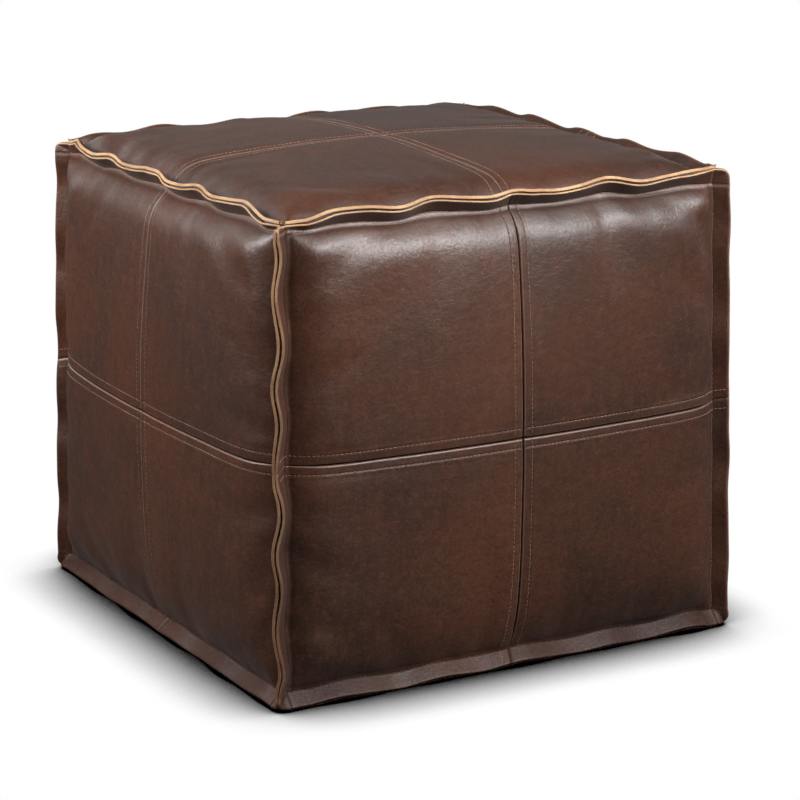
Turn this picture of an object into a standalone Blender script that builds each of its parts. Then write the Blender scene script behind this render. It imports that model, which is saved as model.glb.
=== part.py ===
"""A square leather pouf, built as it is sewn.

Six crowned faces, each of four quarter panels, meet in raised raw-edge flanges.
A zip in the base closes the cover round a stitched inner liner and its fill.

Frame: metres. The origin is on the floor under the middle of the pouf. +Z is up,
and the front face looks along -Y. A "signs" vector has -1, 0 or 1 on each axis.
"""

import math

import bmesh
import bpy
from mathutils import Matrix, Vector

# Driving dimensions
SEAM_HALF_WIDTH = 0.217  # from the middle to the edge seams, at mid height
SEAM_HALF_HEIGHT = 0.1984
BASE_SPREAD = 0.0316  # how much wider the base is than the top, as a share
CROWN = 0.028  # how far the middle of a face stands out from its seams
FULLNESS = 0.42  # 1 is an even bow. Less is steeper at the seams and flatter in the middle
HIDE = 0.0024  # leather thickness
FLANGE = 0.0165  # depth of the raw-edge flange outside the seam
TOP_FLANGE_RISE = math.radians(48)  # top flanges stand a little steeper than the others
SEAM_ALLOWANCE = 0.007  # leather turned in at the cross seams
STITCH_OFFSET = 0.0085  # topstitch row, from its seam
ZIP_HALF_LENGTH = 0.138  # half the length of the zip's coils

# Clearances
LAYER_SHIFT = 0.0005  # each face stands this far out, which parts the flange layers
SEAM_GAP = 0.0006
FIT_GAP = 0.0003
STITCH_CLEARANCE = 0.0006
FLANGE_OFF_FLOOR = 0.0003  # the raw edges stay just clear, so the base carries the load
BASE_STITCH_CLEARANCE = 0.0014  # the base's facets twist beside the zip

# Sizes that follow from them
FLANGE_DROP = (FLANGE + HIDE) * math.sin(math.radians(45))
SEAM_BASE_HEIGHT = FLANGE_DROP + LAYER_SHIFT + FLANGE_OFF_FLOOR
SEAM_MID_HEIGHT = SEAM_BASE_HEIGHT + SEAM_HALF_HEIGHT
FOLD = (HIDE + SEAM_GAP / 2) / SEAM_HALF_WIDTH  # flesh side of a turned-in edge
CORNER_SHARE = 0.8  # how far the corner ears reach into the square
EAR_RISE = FLANGE  # the most that an ear stands above its seam
EAR_DROP = FLANGE * math.sin(math.radians(45))  # an ear reaches no lower than its flange

# The base lies flat on the floor, with shallow valleys along its two seams
BASE_DROP = SEAM_BASE_HEIGHT - HIDE - LAYER_SHIFT
BASE_FLAT_TO = 0.86  # beyond this share of the half width the base rises to its seam
VALLEY_TO = 0.11
CROSS_VALLEY = 0.004
ZIP_VALLEY = 0.006
ZIP_OPENING = 0.0072 / SEAM_HALF_WIDTH  # half the width of the zip's opening
ZIP_OPENING_TO = 0.68

# Stops of the panel grids, as shares of the half width
FACE_STOPS = (0.38, 0.66, 0.86, 1.0)
BASE_STOPS_ACROSS = (VALLEY_TO, 0.3, ZIP_OPENING_TO, BASE_FLAT_TO, 1.0)
BASE_STOPS_DEEP = (VALLEY_TO, 0.3, 0.6, BASE_FLAT_TO, 1.0)

# Topstitching, as ribbons of thread
STITCH_HALF_WIDTH = 0.0005
STITCH_THICKNESS = 0.0005
STITCH_END = 0.96
ZIP_STITCH_OFFSET = 0.0115

# Liner and fill
LINER_INSET = 0.010
LINER_CROWN = 0.0235
LINER_WALL = 0.0008
LINER_FLOOR = 0.016
FILL_CLEARANCE = 0.0018
CORE_CUTS = 4  # cuts across each face of the liner and the fill

# Zip: heights are from the floor, and the outside of the zip faces down
TAPE_LOW = 0.0087
TAPE_THICKNESS = 0.0006
TAPE_INNER = 0.0012
TAPE_OUTER = 0.013
TAPE_HALF_LENGTH = 0.146
COIL_INNER = 0.0009
COIL_OUTER = 0.0025
COIL_LOW = 0.0070
COIL_HIGH = 0.0084
STOP_LENGTH = 0.0045
SLIDER_LENGTH = 0.012
SLIDER_WIDTH = 0.010
SLIDER_PLATE = 0.0012
SLIDER_OUTER_LOW = 0.0052
SLIDER_INNER_LOW = 0.0098
SLIDER_CLOSED_X = 0.128
POST_WIDTH = 0.0008
POST_LENGTH = 0.003
ARCH_SPAN = 0.0076
ARCH_WIDTH = 0.0024
ARCH_BAR = 0.0009
ARCH_FOOT = 0.001
ARCH_LOW = 0.0026
PULL_AXIS_HEIGHT = 0.0044
PULL_LENGTH = 0.028
PULL_WIDTH = 0.007
PULL_THICKNESS = 0.001
EYE_LENGTH = 0.0045
EYE_WIDTH = 0.0034

FACES = {
    "front": Vector((0, -1, 0)),
    "back": Vector((0, 1, 0)),
    "left": Vector((-1, 0, 0)),
    "right": Vector((1, 0, 0)),
    "top": Vector((0, 0, 1)),
    "base": Vector((0, 0, -1)),
}
SIDE_NAMES = {
    ("x", -1): "left",
    ("x", 1): "right",
    ("y", -1): "front",
    ("y", 1): "back",
    ("z", -1): "lower",
    ("z", 1): "upper",
}


# Scene, collections and materials


def clear_scene():
    for obj in list(bpy.data.objects):
        bpy.data.objects.remove(obj, do_unlink=True)


def new_collection(name):
    collection = bpy.data.collections.new(name)
    bpy.context.scene.collection.children.link(collection)
    return collection


def new_material(name, colour, roughness, metallic=0.0):
    material = bpy.data.materials.new(name)
    material.use_nodes = True
    shader = material.node_tree.nodes["Principled BSDF"]
    shader.inputs["Base Color"].default_value = (*colour, 1.0)
    shader.inputs["Roughness"].default_value = roughness
    shader.inputs["Metallic"].default_value = metallic
    material.diffuse_color = (*colour, 1.0)
    return material


def new_object(name, bm, material, collection):
    mesh = bpy.data.meshes.new(name)
    bm.to_mesh(mesh)
    bm.free()
    mesh.materials.append(material)
    obj = bpy.data.objects.new(name, mesh)
    collection.objects.link(obj)
    return obj


def shade_round(obj):
    obj.data.shade_smooth()
    obj.data.set_sharp_from_angle(angle=math.radians(35))


def add_solidify(obj, thickness, outward=True):
    solidify = obj.modifiers.new("Thickness", "SOLIDIFY")
    solidify.thickness = thickness
    solidify.offset = 1.0 if outward else -1.0
    solidify.use_even_offset = True
    solidify.use_quality_normals = True
    return solidify


# The shape of a face


def axes_of(normal):
    """The two axes across a face, so that across x up = normal."""
    up = Vector((0, 0, 1)) if normal.z == 0 else Vector((0, 1, 0))
    return up.cross(normal), up


def seam_corner(signs):
    spread = 1 - BASE_SPREAD * signs.z / 2
    return Vector(
        (
            signs.x * SEAM_HALF_WIDTH * spread,
            signs.y * SEAM_HALF_WIDTH * spread,
            SEAM_MID_HEIGHT + signs.z * SEAM_HALF_HEIGHT,
        )
    )


def seam_plane(normal, u, v):
    across, up = axes_of(normal)
    low = seam_corner(normal - across - up).lerp(seam_corner(normal + across - up), (1 + u) / 2)
    high = seam_corner(normal - across + up).lerp(seam_corner(normal + across + up), (1 + u) / 2)
    return low.lerp(high, (1 + v) / 2)


def flange_vector(normal, side):
    """From an edge's seam to its raw edge. normal and side are the edge's two faces."""
    if 1 not in (normal.z, side.z):
        return (normal + side).normalized() * FLANGE
    level = normal + side - Vector((0, 0, 1))
    rise = Vector((0, 0, math.sin(TOP_FLANGE_RISE)))
    return (level * math.cos(TOP_FLANGE_RISE) + rise) * FLANGE


def zip_opening(u):
    """Half the gap between the base panels at the zip, as a share of the half width."""
    past = (abs(u) - ZIP_OPENING_TO) / (BASE_FLAT_TO - ZIP_OPENING_TO)
    narrowing = min(max(past, 0.0), 1.0)
    return ZIP_OPENING + (FOLD - ZIP_OPENING) * narrowing


def valley(distance, start, depth):
    run = (distance - start) / (VALLEY_TO - start)
    return depth * (1 - min(max(run, 0.0), 1.0))


def base_standing_out(u, v):
    u, v = abs(u), abs(v)
    level = min(1.0, (1 - u) / (1 - BASE_FLAT_TO)) * min(1.0, (1 - v) / (1 - BASE_FLAT_TO))
    sunk = max(valley(u, FOLD, CROSS_VALLEY), valley(v, zip_opening(u), ZIP_VALLEY))
    return (BASE_DROP - sunk) * level


def plump(u, v):
    """The height of a stuffed square, from 0 at its edges to 1 in its middle."""
    if max(abs(u), abs(v)) > 1 - 1e-6:
        return 0.0
    rise_u, rise_v = (1 - u * u) ** FULLNESS, (1 - v * v) ** FULLNESS
    return (rise_u**-4 + rise_v**-4 - 1) ** -0.25


def standing_out(normal, u, v):
    """How far the flesh side of a face stands out from the plane of its seams."""
    if normal.z == -1:
        return base_standing_out(u, v)
    return CROWN * plump(u, v)


def on_face(normal, u, v):
    return seam_plane(normal, u, v) + normal * (standing_out(normal, u, v) + LAYER_SHIFT)


def stops_of(normal):
    if normal.z == -1:
        return BASE_STOPS_ACROSS, BASE_STOPS_DEEP
    return FACE_STOPS, FACE_STOPS


def bracket(value, stops):
    """The stops on each side of value, and how far it lies between them."""
    for low, high in zip(stops, stops[1:]):
        if value <= high:
            return low, high, max(0.0, (value - low) / (high - low))
    return stops[-2], stops[-1], 1.0


def on_facets(normal, u, v, lift):
    """As on_face, but on the flat facets of the panel mesh and not on the smooth crown."""
    across, deep = stops_of(normal)
    u0, u1, s = bracket(abs(u), (FOLD, *across))
    opening = zip_opening(u) if normal.z == -1 else FOLD
    v0, v1, t = bracket(abs(v), (opening, *deep))
    heights = [[standing_out(normal, a, b) for b in (v0, v1)] for a in (u0, u1)]
    near = heights[0][0] * (1 - t) + heights[0][1] * t
    far = heights[1][0] * (1 - t) + heights[1][1] * t
    height = near * (1 - s) + far * s
    return seam_plane(normal, u, v) + normal * (height + LAYER_SHIFT + lift)


# Grids that become sheets


def grid(columns, rows, place):
    """A grid of columns x rows vertices, each put where place(column, row) says."""
    bm = bmesh.new()
    across, deep = len(columns) - 1, len(rows) - 1
    bmesh.ops.create_grid(bm, x_segments=across, y_segments=deep, size=1.0)
    for vert in bm.verts:
        column = columns[round((vert.co.x + 1) / 2 * across)]
        row = rows[round((vert.co.y + 1) / 2 * deep)]
        vert.co = place(column, row)
    return bm


# Quarter panels


def panel_stops(face_stops):
    return [("lip", 0.0), ("fold", 0.0)] + [("face", s) for s in face_stops] + [("flange", 1.0)]


def is_edge(stop):
    return stop[1] == 1.0


def ear_vector(flange_u, flange_v):
    """From a box corner's seam to the tip of the ear where two flanges of one face meet."""
    ear = (flange_u + flange_v) * CORNER_SHARE
    ear.z = min(max(ear.z, -EAR_DROP), EAR_RISE)
    return ear


def panel_place(normal, side_u, side_v):
    """The function that puts one quarter panel's vertices in place."""
    across, up = axes_of(normal)
    flange_u = flange_vector(normal, across * side_u)
    flange_v = flange_vector(normal, up * side_v)
    zipped = normal.z == -1

    def fold_at(other):
        return SEAM_GAP / 2 / SEAM_HALF_WIDTH if other[0] == "flange" else FOLD

    def zip_fold_at(column, u):
        return fold_at(column) if column[0] == "flange" else zip_opening(u)

    def place(column, row):
        u = fold_at(row) if column[0] in ("lip", "fold") else column[1]
        v = row[1]
        if row[0] in ("lip", "fold"):
            v = zip_fold_at(column, u) if zipped else fold_at(column)
        point = on_face(normal, u * side_u, v * side_v)
        turned_in = column[0] == "lip" and not is_edge(row)
        turned_in = turned_in and not (zipped and row[1] <= VALLEY_TO)
        if not zipped:
            turned_in = turned_in or (row[0] == "lip" and not is_edge(column))
        if turned_in:
            point -= normal * SEAM_ALLOWANCE
        if column[0] == "flange" and row[0] == "flange":
            point += ear_vector(flange_u, flange_v)
        elif column[0] == "flange":
            point += flange_u
        elif row[0] == "flange":
            point += flange_v
        return point

    return place


def panel_name(face, normal, side_u, side_v):
    across, up = axes_of(normal)
    words = {}
    for direction in (across * side_u, up * side_v):
        for axis in "xyz":
            if getattr(direction, axis):
                words[axis] = SIDE_NAMES[axis, round(getattr(direction, axis))]
    order = "zyx"
    return "_".join([face, "panel"] + [words[axis] for axis in order if axis in words])


def build_panel(face, normal, side_u, side_v, material, collection):
    across_stops, deep_stops = stops_of(normal)
    place = panel_place(normal, side_u, side_v)
    bm = grid(panel_stops(across_stops), panel_stops(deep_stops), place)
    bmesh.ops.remove_doubles(bm, verts=bm.verts[:], dist=1e-6)
    if side_u * side_v < 0:
        bmesh.ops.reverse_faces(bm, faces=bm.faces[:])
    obj = new_object(panel_name(face, normal, side_u, side_v), bm, material, collection)
    add_solidify(obj, HIDE)
    shade_round(obj)


def build_panels(material, collection):
    for face, normal in FACES.items():
        for side_v in (1, -1):
            for side_u in (-1, 1):
                build_panel(face, normal, side_u, side_v, material, collection)


# Thread


def ribbon_stops(offset, face_stops):
    middle = offset / SEAM_HALF_WIDTH
    half = STITCH_HALF_WIDTH / SEAM_HALF_WIDTH
    outer = [stop for stop in face_stops if middle + half < stop < STITCH_END]
    positive = [middle - half, middle + half, *outer, STITCH_END]
    return [-stop for stop in reversed(positive)] + positive


def build_topstitch(name, normal, material, collection, keep_side=0):
    """Two rows along each seam of a face, crossing in its middle. keep_side keeps one half."""
    across_stops, deep_stops = stops_of(normal)
    deep_offset = ZIP_STITCH_OFFSET if keep_side else STITCH_OFFSET
    columns = ribbon_stops(STITCH_OFFSET, across_stops)
    rows = ribbon_stops(deep_offset, deep_stops)
    lift = HIDE + (BASE_STITCH_CLEARANCE if keep_side else STITCH_CLEARANCE)
    bm = grid(columns, rows, lambda u, v: Vector((u, v, 0)))
    half = STITCH_HALF_WIDTH / SEAM_HALF_WIDTH
    for face in bm.faces[:]:
        centre = face.calc_center_median()
        on_row = abs(abs(centre.x) - STITCH_OFFSET / SEAM_HALF_WIDTH) < half
        on_row = on_row or abs(abs(centre.y) - deep_offset / SEAM_HALF_WIDTH) < half
        kept = not keep_side or centre.y * keep_side > deep_offset / SEAM_HALF_WIDTH - half
        if not (on_row and kept):
            bm.faces.remove(face)
    loose = [vert for vert in bm.verts if not vert.link_faces]
    bmesh.ops.delete(bm, geom=loose, context="VERTS")
    for edge in [edge for edge in bm.edges if not edge.link_faces]:
        bm.edges.remove(edge)
    for vert in bm.verts:
        vert.co = on_facets(normal, vert.co.x, vert.co.y, lift)
    obj = new_object(name, bm, material, collection)
    add_solidify(obj, STITCH_THICKNESS)


def build_topstitches(material, collection):
    for face, normal in FACES.items():
        if face == "base":
            build_topstitch("base_topstitch_front", normal, material, collection, keep_side=-1)
            build_topstitch("base_topstitch_back", normal, material, collection, keep_side=1)
        else:
            build_topstitch(face + "_topstitch", normal, material, collection)


def build_edge_seam(first, second, material, collection):
    """The line of thread that holds two faces together, between the layers of their flange."""
    width, thickness, from_seam, end_gap = 0.0012, 0.00015, 0.002, 0.012
    one, other = FACES[first], FACES[second]
    along = Vector((1, 1, 1)) - Vector(map(abs, one + other))
    start, end = seam_corner(one + other - along), seam_corner(one + other + along)
    outward = flange_vector(one, other).normalized()
    length = (end - start).length - 2 * end_gap
    run = (end - start).normalized()
    outward = (outward - run * outward.dot(run)).normalized()
    through = run.cross(outward)
    middle = (one + other).dot(through) * LAYER_SHIFT / 2
    centre = (start + end) / 2 + outward * from_seam + through * middle
    bm = bmesh.new()
    bmesh.ops.create_cube(bm, size=1.0)
    bmesh.ops.scale(bm, vec=(length, width, thickness), verts=bm.verts[:])
    name = "edge_seam_" + first + "_" + second
    obj = new_object(name, bm, material, collection)
    turn = Matrix((run, outward, through)).transposed().to_4x4()
    obj.matrix_world = Matrix.Translation(centre) @ turn


def build_edge_seams(material, collection):
    for level in ("top", "base"):
        for side in ("front", "back", "left", "right"):
            build_edge_seam(level, side, material, collection)
    for depth in ("front", "back"):
        for side in ("left", "right"):
            build_edge_seam(depth, side, material, collection)


# Liner and fill


def crowned_box(inset, crown, floor_height):
    """A closed box with crowned sides and top and a flat floor, inset from the seams."""
    bm = bmesh.new()
    bmesh.ops.create_cube(bm, size=2.0)
    bmesh.ops.subdivide_edges(bm, edges=bm.edges[:], cuts=CORE_CUTS, use_grid_fill=True)
    ceiling = SEAM_MID_HEIGHT + SEAM_HALF_HEIGHT - inset
    half_height = (ceiling - floor_height) / 2
    for vert in bm.verts:
        a, b, c = vert.co
        half = SEAM_HALF_WIDTH * (1 - BASE_SPREAD * c / 2) - inset
        swell = [crown * plump(s, t) for s, t in ((b, c), (a, c), (a, b))]
        x = a * half + (math.copysign(swell[0], a) if abs(a) > 0.999 else 0.0)
        y = b * half + (math.copysign(swell[1], b) if abs(b) > 0.999 else 0.0)
        z = floor_height + (1 + c) * half_height + (swell[2] if c > 0.999 else 0.0)
        vert.co = (x, y, z)
    return bm


def build_liner(material, collection):
    bm = crowned_box(LINER_INSET, LINER_CROWN, LINER_FLOOR)
    opening_half_width = SEAM_HALF_WIDTH / (CORE_CUTS + 1)
    for face in bm.faces[:]:
        centre = face.calc_center_median()
        in_floor = centre.z < LINER_FLOOR + 1e-4
        if in_floor and abs(centre.y) < opening_half_width and abs(centre.x) < ZIP_HALF_LENGTH:
            bm.faces.remove(face)
    obj = new_object("inner_liner", bm, material, collection)
    add_solidify(obj, LINER_WALL, outward=False)
    shade_round(obj)


def build_fill(material, collection):
    inset = LINER_INSET + FILL_CLEARANCE
    bm = crowned_box(inset, LINER_CROWN, LINER_FLOOR + FILL_CLEARANCE)
    shade_round(new_object("fill_core", bm, material, collection))


# Zip


def box(name, low, high, material, collection):
    bm = bmesh.new()
    bmesh.ops.create_cube(bm, size=1.0)
    size = Vector(high) - Vector(low)
    bmesh.ops.scale(bm, vec=size, verts=bm.verts[:])
    obj = new_object(name, bm, material, collection)
    obj.location = (Vector(low) + Vector(high)) / 2
    return obj


def as_helper(obj):
    obj.hide_render = True
    obj.display_type = "WIRE"
    return obj


def add_boolean(obj, other, operation):
    boolean = obj.modifiers.new(operation.title(), "BOOLEAN")
    boolean.operation = operation
    boolean.object = other
    boolean.solver = "EXACT"


def add_bevel(obj, width):
    bevel = obj.modifiers.new("Rounding", "BEVEL")
    bevel.width = width
    bevel.segments = 1
    bevel.limit_method = "ANGLE"


def build_tapes_and_coils(tape_material, coil_material, collection):
    for name, side in (("front", -1), ("back", 1)):
        tape_y = sorted((side * TAPE_INNER, side * TAPE_OUTER))
        coil_y = sorted((side * COIL_INNER, side * COIL_OUTER))
        box(
            "zip_tape_" + name,
            (-TAPE_HALF_LENGTH, tape_y[0], TAPE_LOW),
            (TAPE_HALF_LENGTH, tape_y[1], TAPE_LOW + TAPE_THICKNESS),
            tape_material,
            collection,
        )
        coil = box(
            "zip_coil_" + name,
            (-ZIP_HALF_LENGTH, coil_y[0], COIL_LOW),
            (ZIP_HALF_LENGTH, coil_y[1], COIL_HIGH),
            coil_material,
            collection,
        )
        add_bevel(coil, 0.0004)


def build_stops(material, collection):
    for name, side in (("left", -1), ("right", 1)):
        near = ZIP_HALF_LENGTH + FIT_GAP
        ends = sorted((side * near, side * (near + STOP_LENGTH)))
        stop = box(
            "zip_stop_" + name,
            (ends[0], -COIL_OUTER, COIL_LOW),
            (ends[1], COIL_OUTER, COIL_HIGH),
            material,
            collection,
        )
        add_bevel(stop, 0.0004)


def build_slider(material, collection, helpers):
    x, half_length, half_width = SLIDER_CLOSED_X, SLIDER_LENGTH / 2, SLIDER_WIDTH / 2
    outer_high = SLIDER_OUTER_LOW + SLIDER_PLATE
    slider = box(
        "zip_slider",
        (x - half_length, -half_width, SLIDER_OUTER_LOW),
        (x + half_length, half_width, outer_high),
        material,
        collection,
    )
    add_bevel(slider, 0.0005)
    overlap = SLIDER_PLATE / 2
    shapes = {
        "slider_inner_plate": (
            (x - half_length, -half_width, SLIDER_INNER_LOW),
            (x + half_length, half_width, SLIDER_INNER_LOW + SLIDER_PLATE),
        ),
        "slider_post": (
            (x - POST_LENGTH / 2, -POST_WIDTH / 2, outer_high - overlap),
            (x + POST_LENGTH / 2, POST_WIDTH / 2, SLIDER_INNER_LOW + overlap),
        ),
        "slider_arch": (
            (x - ARCH_SPAN / 2, -ARCH_WIDTH / 2, ARCH_LOW),
            (x + ARCH_SPAN / 2, ARCH_WIDTH / 2, SLIDER_OUTER_LOW + overlap),
        ),
    }
    made = {}
    for name, (low, high) in shapes.items():
        made[name] = as_helper(box(name, low, high, material, helpers))
    arch_room = as_helper(
        box(
            "slider_arch_room",
            (x - ARCH_SPAN / 2 + ARCH_FOOT, -ARCH_WIDTH, ARCH_LOW + ARCH_BAR),
            (x + ARCH_SPAN / 2 - ARCH_FOOT, ARCH_WIDTH, SLIDER_OUTER_LOW),
            material,
            helpers,
        )
    )
    add_boolean(slider, made["slider_inner_plate"], "UNION")
    add_boolean(slider, made["slider_post"], "UNION")
    add_boolean(slider, made["slider_arch"], "UNION")
    add_boolean(slider, arch_room, "DIFFERENCE")


def build_pull(material, collection, helpers):
    """The pull lies along -X, and its origin is on the bar that turns under the slider's arch."""
    half_bar = PULL_THICKNESS / 2
    bm = bmesh.new()
    bmesh.ops.create_cube(bm, size=1.0)
    bmesh.ops.scale(bm, vec=(PULL_LENGTH, PULL_WIDTH, PULL_THICKNESS), verts=bm.verts[:])
    bmesh.ops.translate(bm, vec=(half_bar - PULL_LENGTH / 2, 0, 0), verts=bm.verts[:])
    corners = [edge for edge in bm.edges if abs(edge.verts[0].co.z - edge.verts[1].co.z) > 1e-6]
    far = [edge for edge in corners if edge.verts[0].co.x < -PULL_LENGTH / 2]
    bmesh.ops.bevel(bm, geom=far, offset=0.002, segments=4, affect="EDGES", profile=0.5)
    pull = new_object("zip_pull", bm, material, collection)
    pull.location = (SLIDER_CLOSED_X, 0, PULL_AXIS_HEIGHT)
    eye = as_helper(
        box(
            "pull_eye",
            (-half_bar - EYE_LENGTH, -EYE_WIDTH / 2, -PULL_THICKNESS),
            (-half_bar, EYE_WIDTH / 2, PULL_THICKNESS),
            material,
            helpers,
        )
    )
    eye.location += pull.location
    add_boolean(pull, eye, "DIFFERENCE")


def main():
    clear_scene()
    pouf = new_collection("leather_pouf")
    helpers = new_collection("helpers")
    leather = new_material("brown_leather", (0.075, 0.034, 0.021), 0.42)
    thread = new_material("beige_thread", (0.30, 0.22, 0.16), 0.8)
    cotton = new_material("cotton_liner", (0.62, 0.57, 0.48), 0.95)
    fill = new_material("fibre_fill", (0.72, 0.69, 0.62), 1.0)
    tape = new_material("zip_tape", (0.035, 0.022, 0.016), 0.85)
    coil = new_material("zip_coil", (0.045, 0.030, 0.022), 0.45)
    brass = new_material("aged_brass", (0.42, 0.30, 0.14), 0.38, metallic=1.0)
    build_panels(leather, pouf)
    build_topstitches(thread, pouf)
    build_edge_seams(thread, pouf)
    build_liner(cotton, pouf)
    build_fill(fill, pouf)
    build_tapes_and_coils(tape, coil, pouf)
    build_stops(brass, pouf)
    build_slider(brass, pouf, helpers)
    build_pull(brass, pouf, helpers)


main()
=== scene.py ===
import math

import bpy
import numpy as np
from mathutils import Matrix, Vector

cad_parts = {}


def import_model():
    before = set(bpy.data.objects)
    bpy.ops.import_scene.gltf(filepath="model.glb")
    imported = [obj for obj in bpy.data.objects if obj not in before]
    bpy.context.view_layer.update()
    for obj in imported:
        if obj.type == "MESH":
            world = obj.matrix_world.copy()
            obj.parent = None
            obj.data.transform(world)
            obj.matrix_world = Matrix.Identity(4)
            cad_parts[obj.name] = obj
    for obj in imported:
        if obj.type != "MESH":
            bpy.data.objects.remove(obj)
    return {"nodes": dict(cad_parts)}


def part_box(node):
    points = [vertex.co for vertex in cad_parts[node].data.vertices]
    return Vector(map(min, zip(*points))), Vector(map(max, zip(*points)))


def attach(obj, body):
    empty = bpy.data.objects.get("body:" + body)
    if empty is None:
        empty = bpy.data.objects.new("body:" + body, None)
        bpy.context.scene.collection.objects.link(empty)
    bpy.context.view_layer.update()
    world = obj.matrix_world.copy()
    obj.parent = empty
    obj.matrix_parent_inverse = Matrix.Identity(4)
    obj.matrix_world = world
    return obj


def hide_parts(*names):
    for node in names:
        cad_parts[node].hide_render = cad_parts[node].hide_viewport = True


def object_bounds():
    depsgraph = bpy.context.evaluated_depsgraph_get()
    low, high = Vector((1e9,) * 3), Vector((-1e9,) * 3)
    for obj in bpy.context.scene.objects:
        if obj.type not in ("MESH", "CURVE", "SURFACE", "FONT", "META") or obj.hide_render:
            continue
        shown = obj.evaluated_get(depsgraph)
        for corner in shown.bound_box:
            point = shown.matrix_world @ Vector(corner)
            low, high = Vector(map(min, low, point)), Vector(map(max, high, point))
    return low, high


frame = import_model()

CAD_LOW, CAD_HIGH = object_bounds()

# Sizes are in metres
HIDE = 0.0024  # the thickness of the leather
FLANGE = 0.0165  # from a seam to the raw edges
LAYER_SHIFT = 0.0005  # each face's flesh side stands this far out of its seam plane
THREAD_FROM_SEAM = 0.002  # where the frame's edge seams lie on their flanges
TOP_RISE = math.radians(48)  # how steeply the frame's flanges stand at the top
SIDE_RISE = math.radians(45)  # and at the base
TOP_LEAN = math.radians(41)  # how steeply the top flanges stand as they are worn
TOP_LEAN_AT_CORNER = math.radians(70)
CROWN = 0.0278  # how far the stuffing pushes the middle of a face out
# How tall the flanges stand at the four top corners, by the signs of x and y
CORNER_STAND = {(-1, -1): 0.34, (1, -1): 1.0, (-1, 1): 0.72, (1, 1): 0.8}
CELLS = 44  # cells across a face in the cloth simulation


# ---- the seam box, from the frame


def middle(node):
    low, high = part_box(node)
    return (low + high) / 2


TOP_MID = middle("edge_seam_top_front")
BASE_MID = middle("edge_seam_base_front")
HALF_TOP = -TOP_MID.y - THREAD_FROM_SEAM * math.cos(TOP_RISE)
HALF_BASE = -BASE_MID.y - THREAD_FROM_SEAM * math.cos(SIDE_RISE)
TOP_Z = TOP_MID.z - THREAD_FROM_SEAM * math.sin(TOP_RISE)
BASE_Z = BASE_MID.z + THREAD_FROM_SEAM * math.sin(SIDE_RISE)

NORMALS = {
    "front": (0, -1, 0),
    "back": (0, 1, 0),
    "left": (-1, 0, 0),
    "right": (1, 0, 0),
    "top": (0, 0, 1),
    "base": (0, 0, -1),
}


class Face:
    """A face of the seams' box. u runs across it and v up it, from -1 to 1."""

    def __init__(self, name):
        self.name = name
        self.normal = np.array(NORMALS[name], float)
        self.up = np.array((0, 0, 1.0) if self.normal[2] == 0 else (0, 1.0, 0))
        self.across = np.cross(self.up, self.normal)
        self.corners = {
            (u, v): corner(self.normal + u * self.across + v * self.up)
            for u in (-1, 1)
            for v in (-1, 1)
        }
        widths = [np.linalg.norm(self.corners[1, v] - self.corners[-1, v]) for v in (1, -1)]
        self.half_u = sum(widths) / 4
        self.half_v = np.linalg.norm(self.corners[1, 1] - self.corners[1, -1]) / 2

    def plane(self, u, v):
        u, v = np.asarray(u)[..., None], np.asarray(v)[..., None]
        c = self.corners
        low = c[-1, -1] * (1 - u) / 2 + c[1, -1] * (1 + u) / 2
        high = c[-1, 1] * (1 - u) / 2 + c[1, 1] * (1 + u) / 2
        return low * (1 - v) / 2 + high * (1 + v) / 2


def corner(signs):
    """A corner of the seams' box, which is wider at its base."""
    share = (signs[2] + 1) / 2
    half = HALF_BASE + (HALF_TOP - HALF_BASE) * share
    return np.array((signs[0] * half, signs[1] * half, BASE_Z + (TOP_Z - BASE_Z) * share))


FACE = {name: Face(name) for name in NORMALS}


def name_of(normal):
    return next(n for n, v in NORMALS.items() if np.allclose(v, normal))


# ---- the twelve flanges


def unit(v):
    return v / np.linalg.norm(v)


def smooth(x, low, high):
    """0 below low, 1 above high, and an S curve between them."""
    t = np.clip((x - low) / (high - low), 0, 1)
    return t * t * (3 - 2 * t)


def bell(x, middle_x, width):
    """1 at middle_x, fading to both sides."""
    return np.exp(-(((x - middle_x) / width) ** 2))


TURN = 2 * math.pi
# How far the flanges wander sideways in their main, fine and slow waves: top, base, upright
WAVES = ((0.0029, 0.0006, 0.0011), (0.0026, 0.0004, 0.0012), (0.0021, 0.0004, 0.0009))
SEAM_SHARE = 0.72  # the seam line follows this share of its flange's waves
DIP = 0.0022  # how far a cross seam that ends in a flange draws it aside
GAP_UPRIGHT, GAP_LEVEL = 0.0019, 0.0011  # between the two raw edges, where they part most
GAP_NEAR_CORNER = 0.0012  # and near the ends of the level flanges
PUCKERS = (0.00030, 0.00024, 0.00052)  # the small folds at the top, base and upright edges
PUCKER_REACH = 0.022


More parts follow.
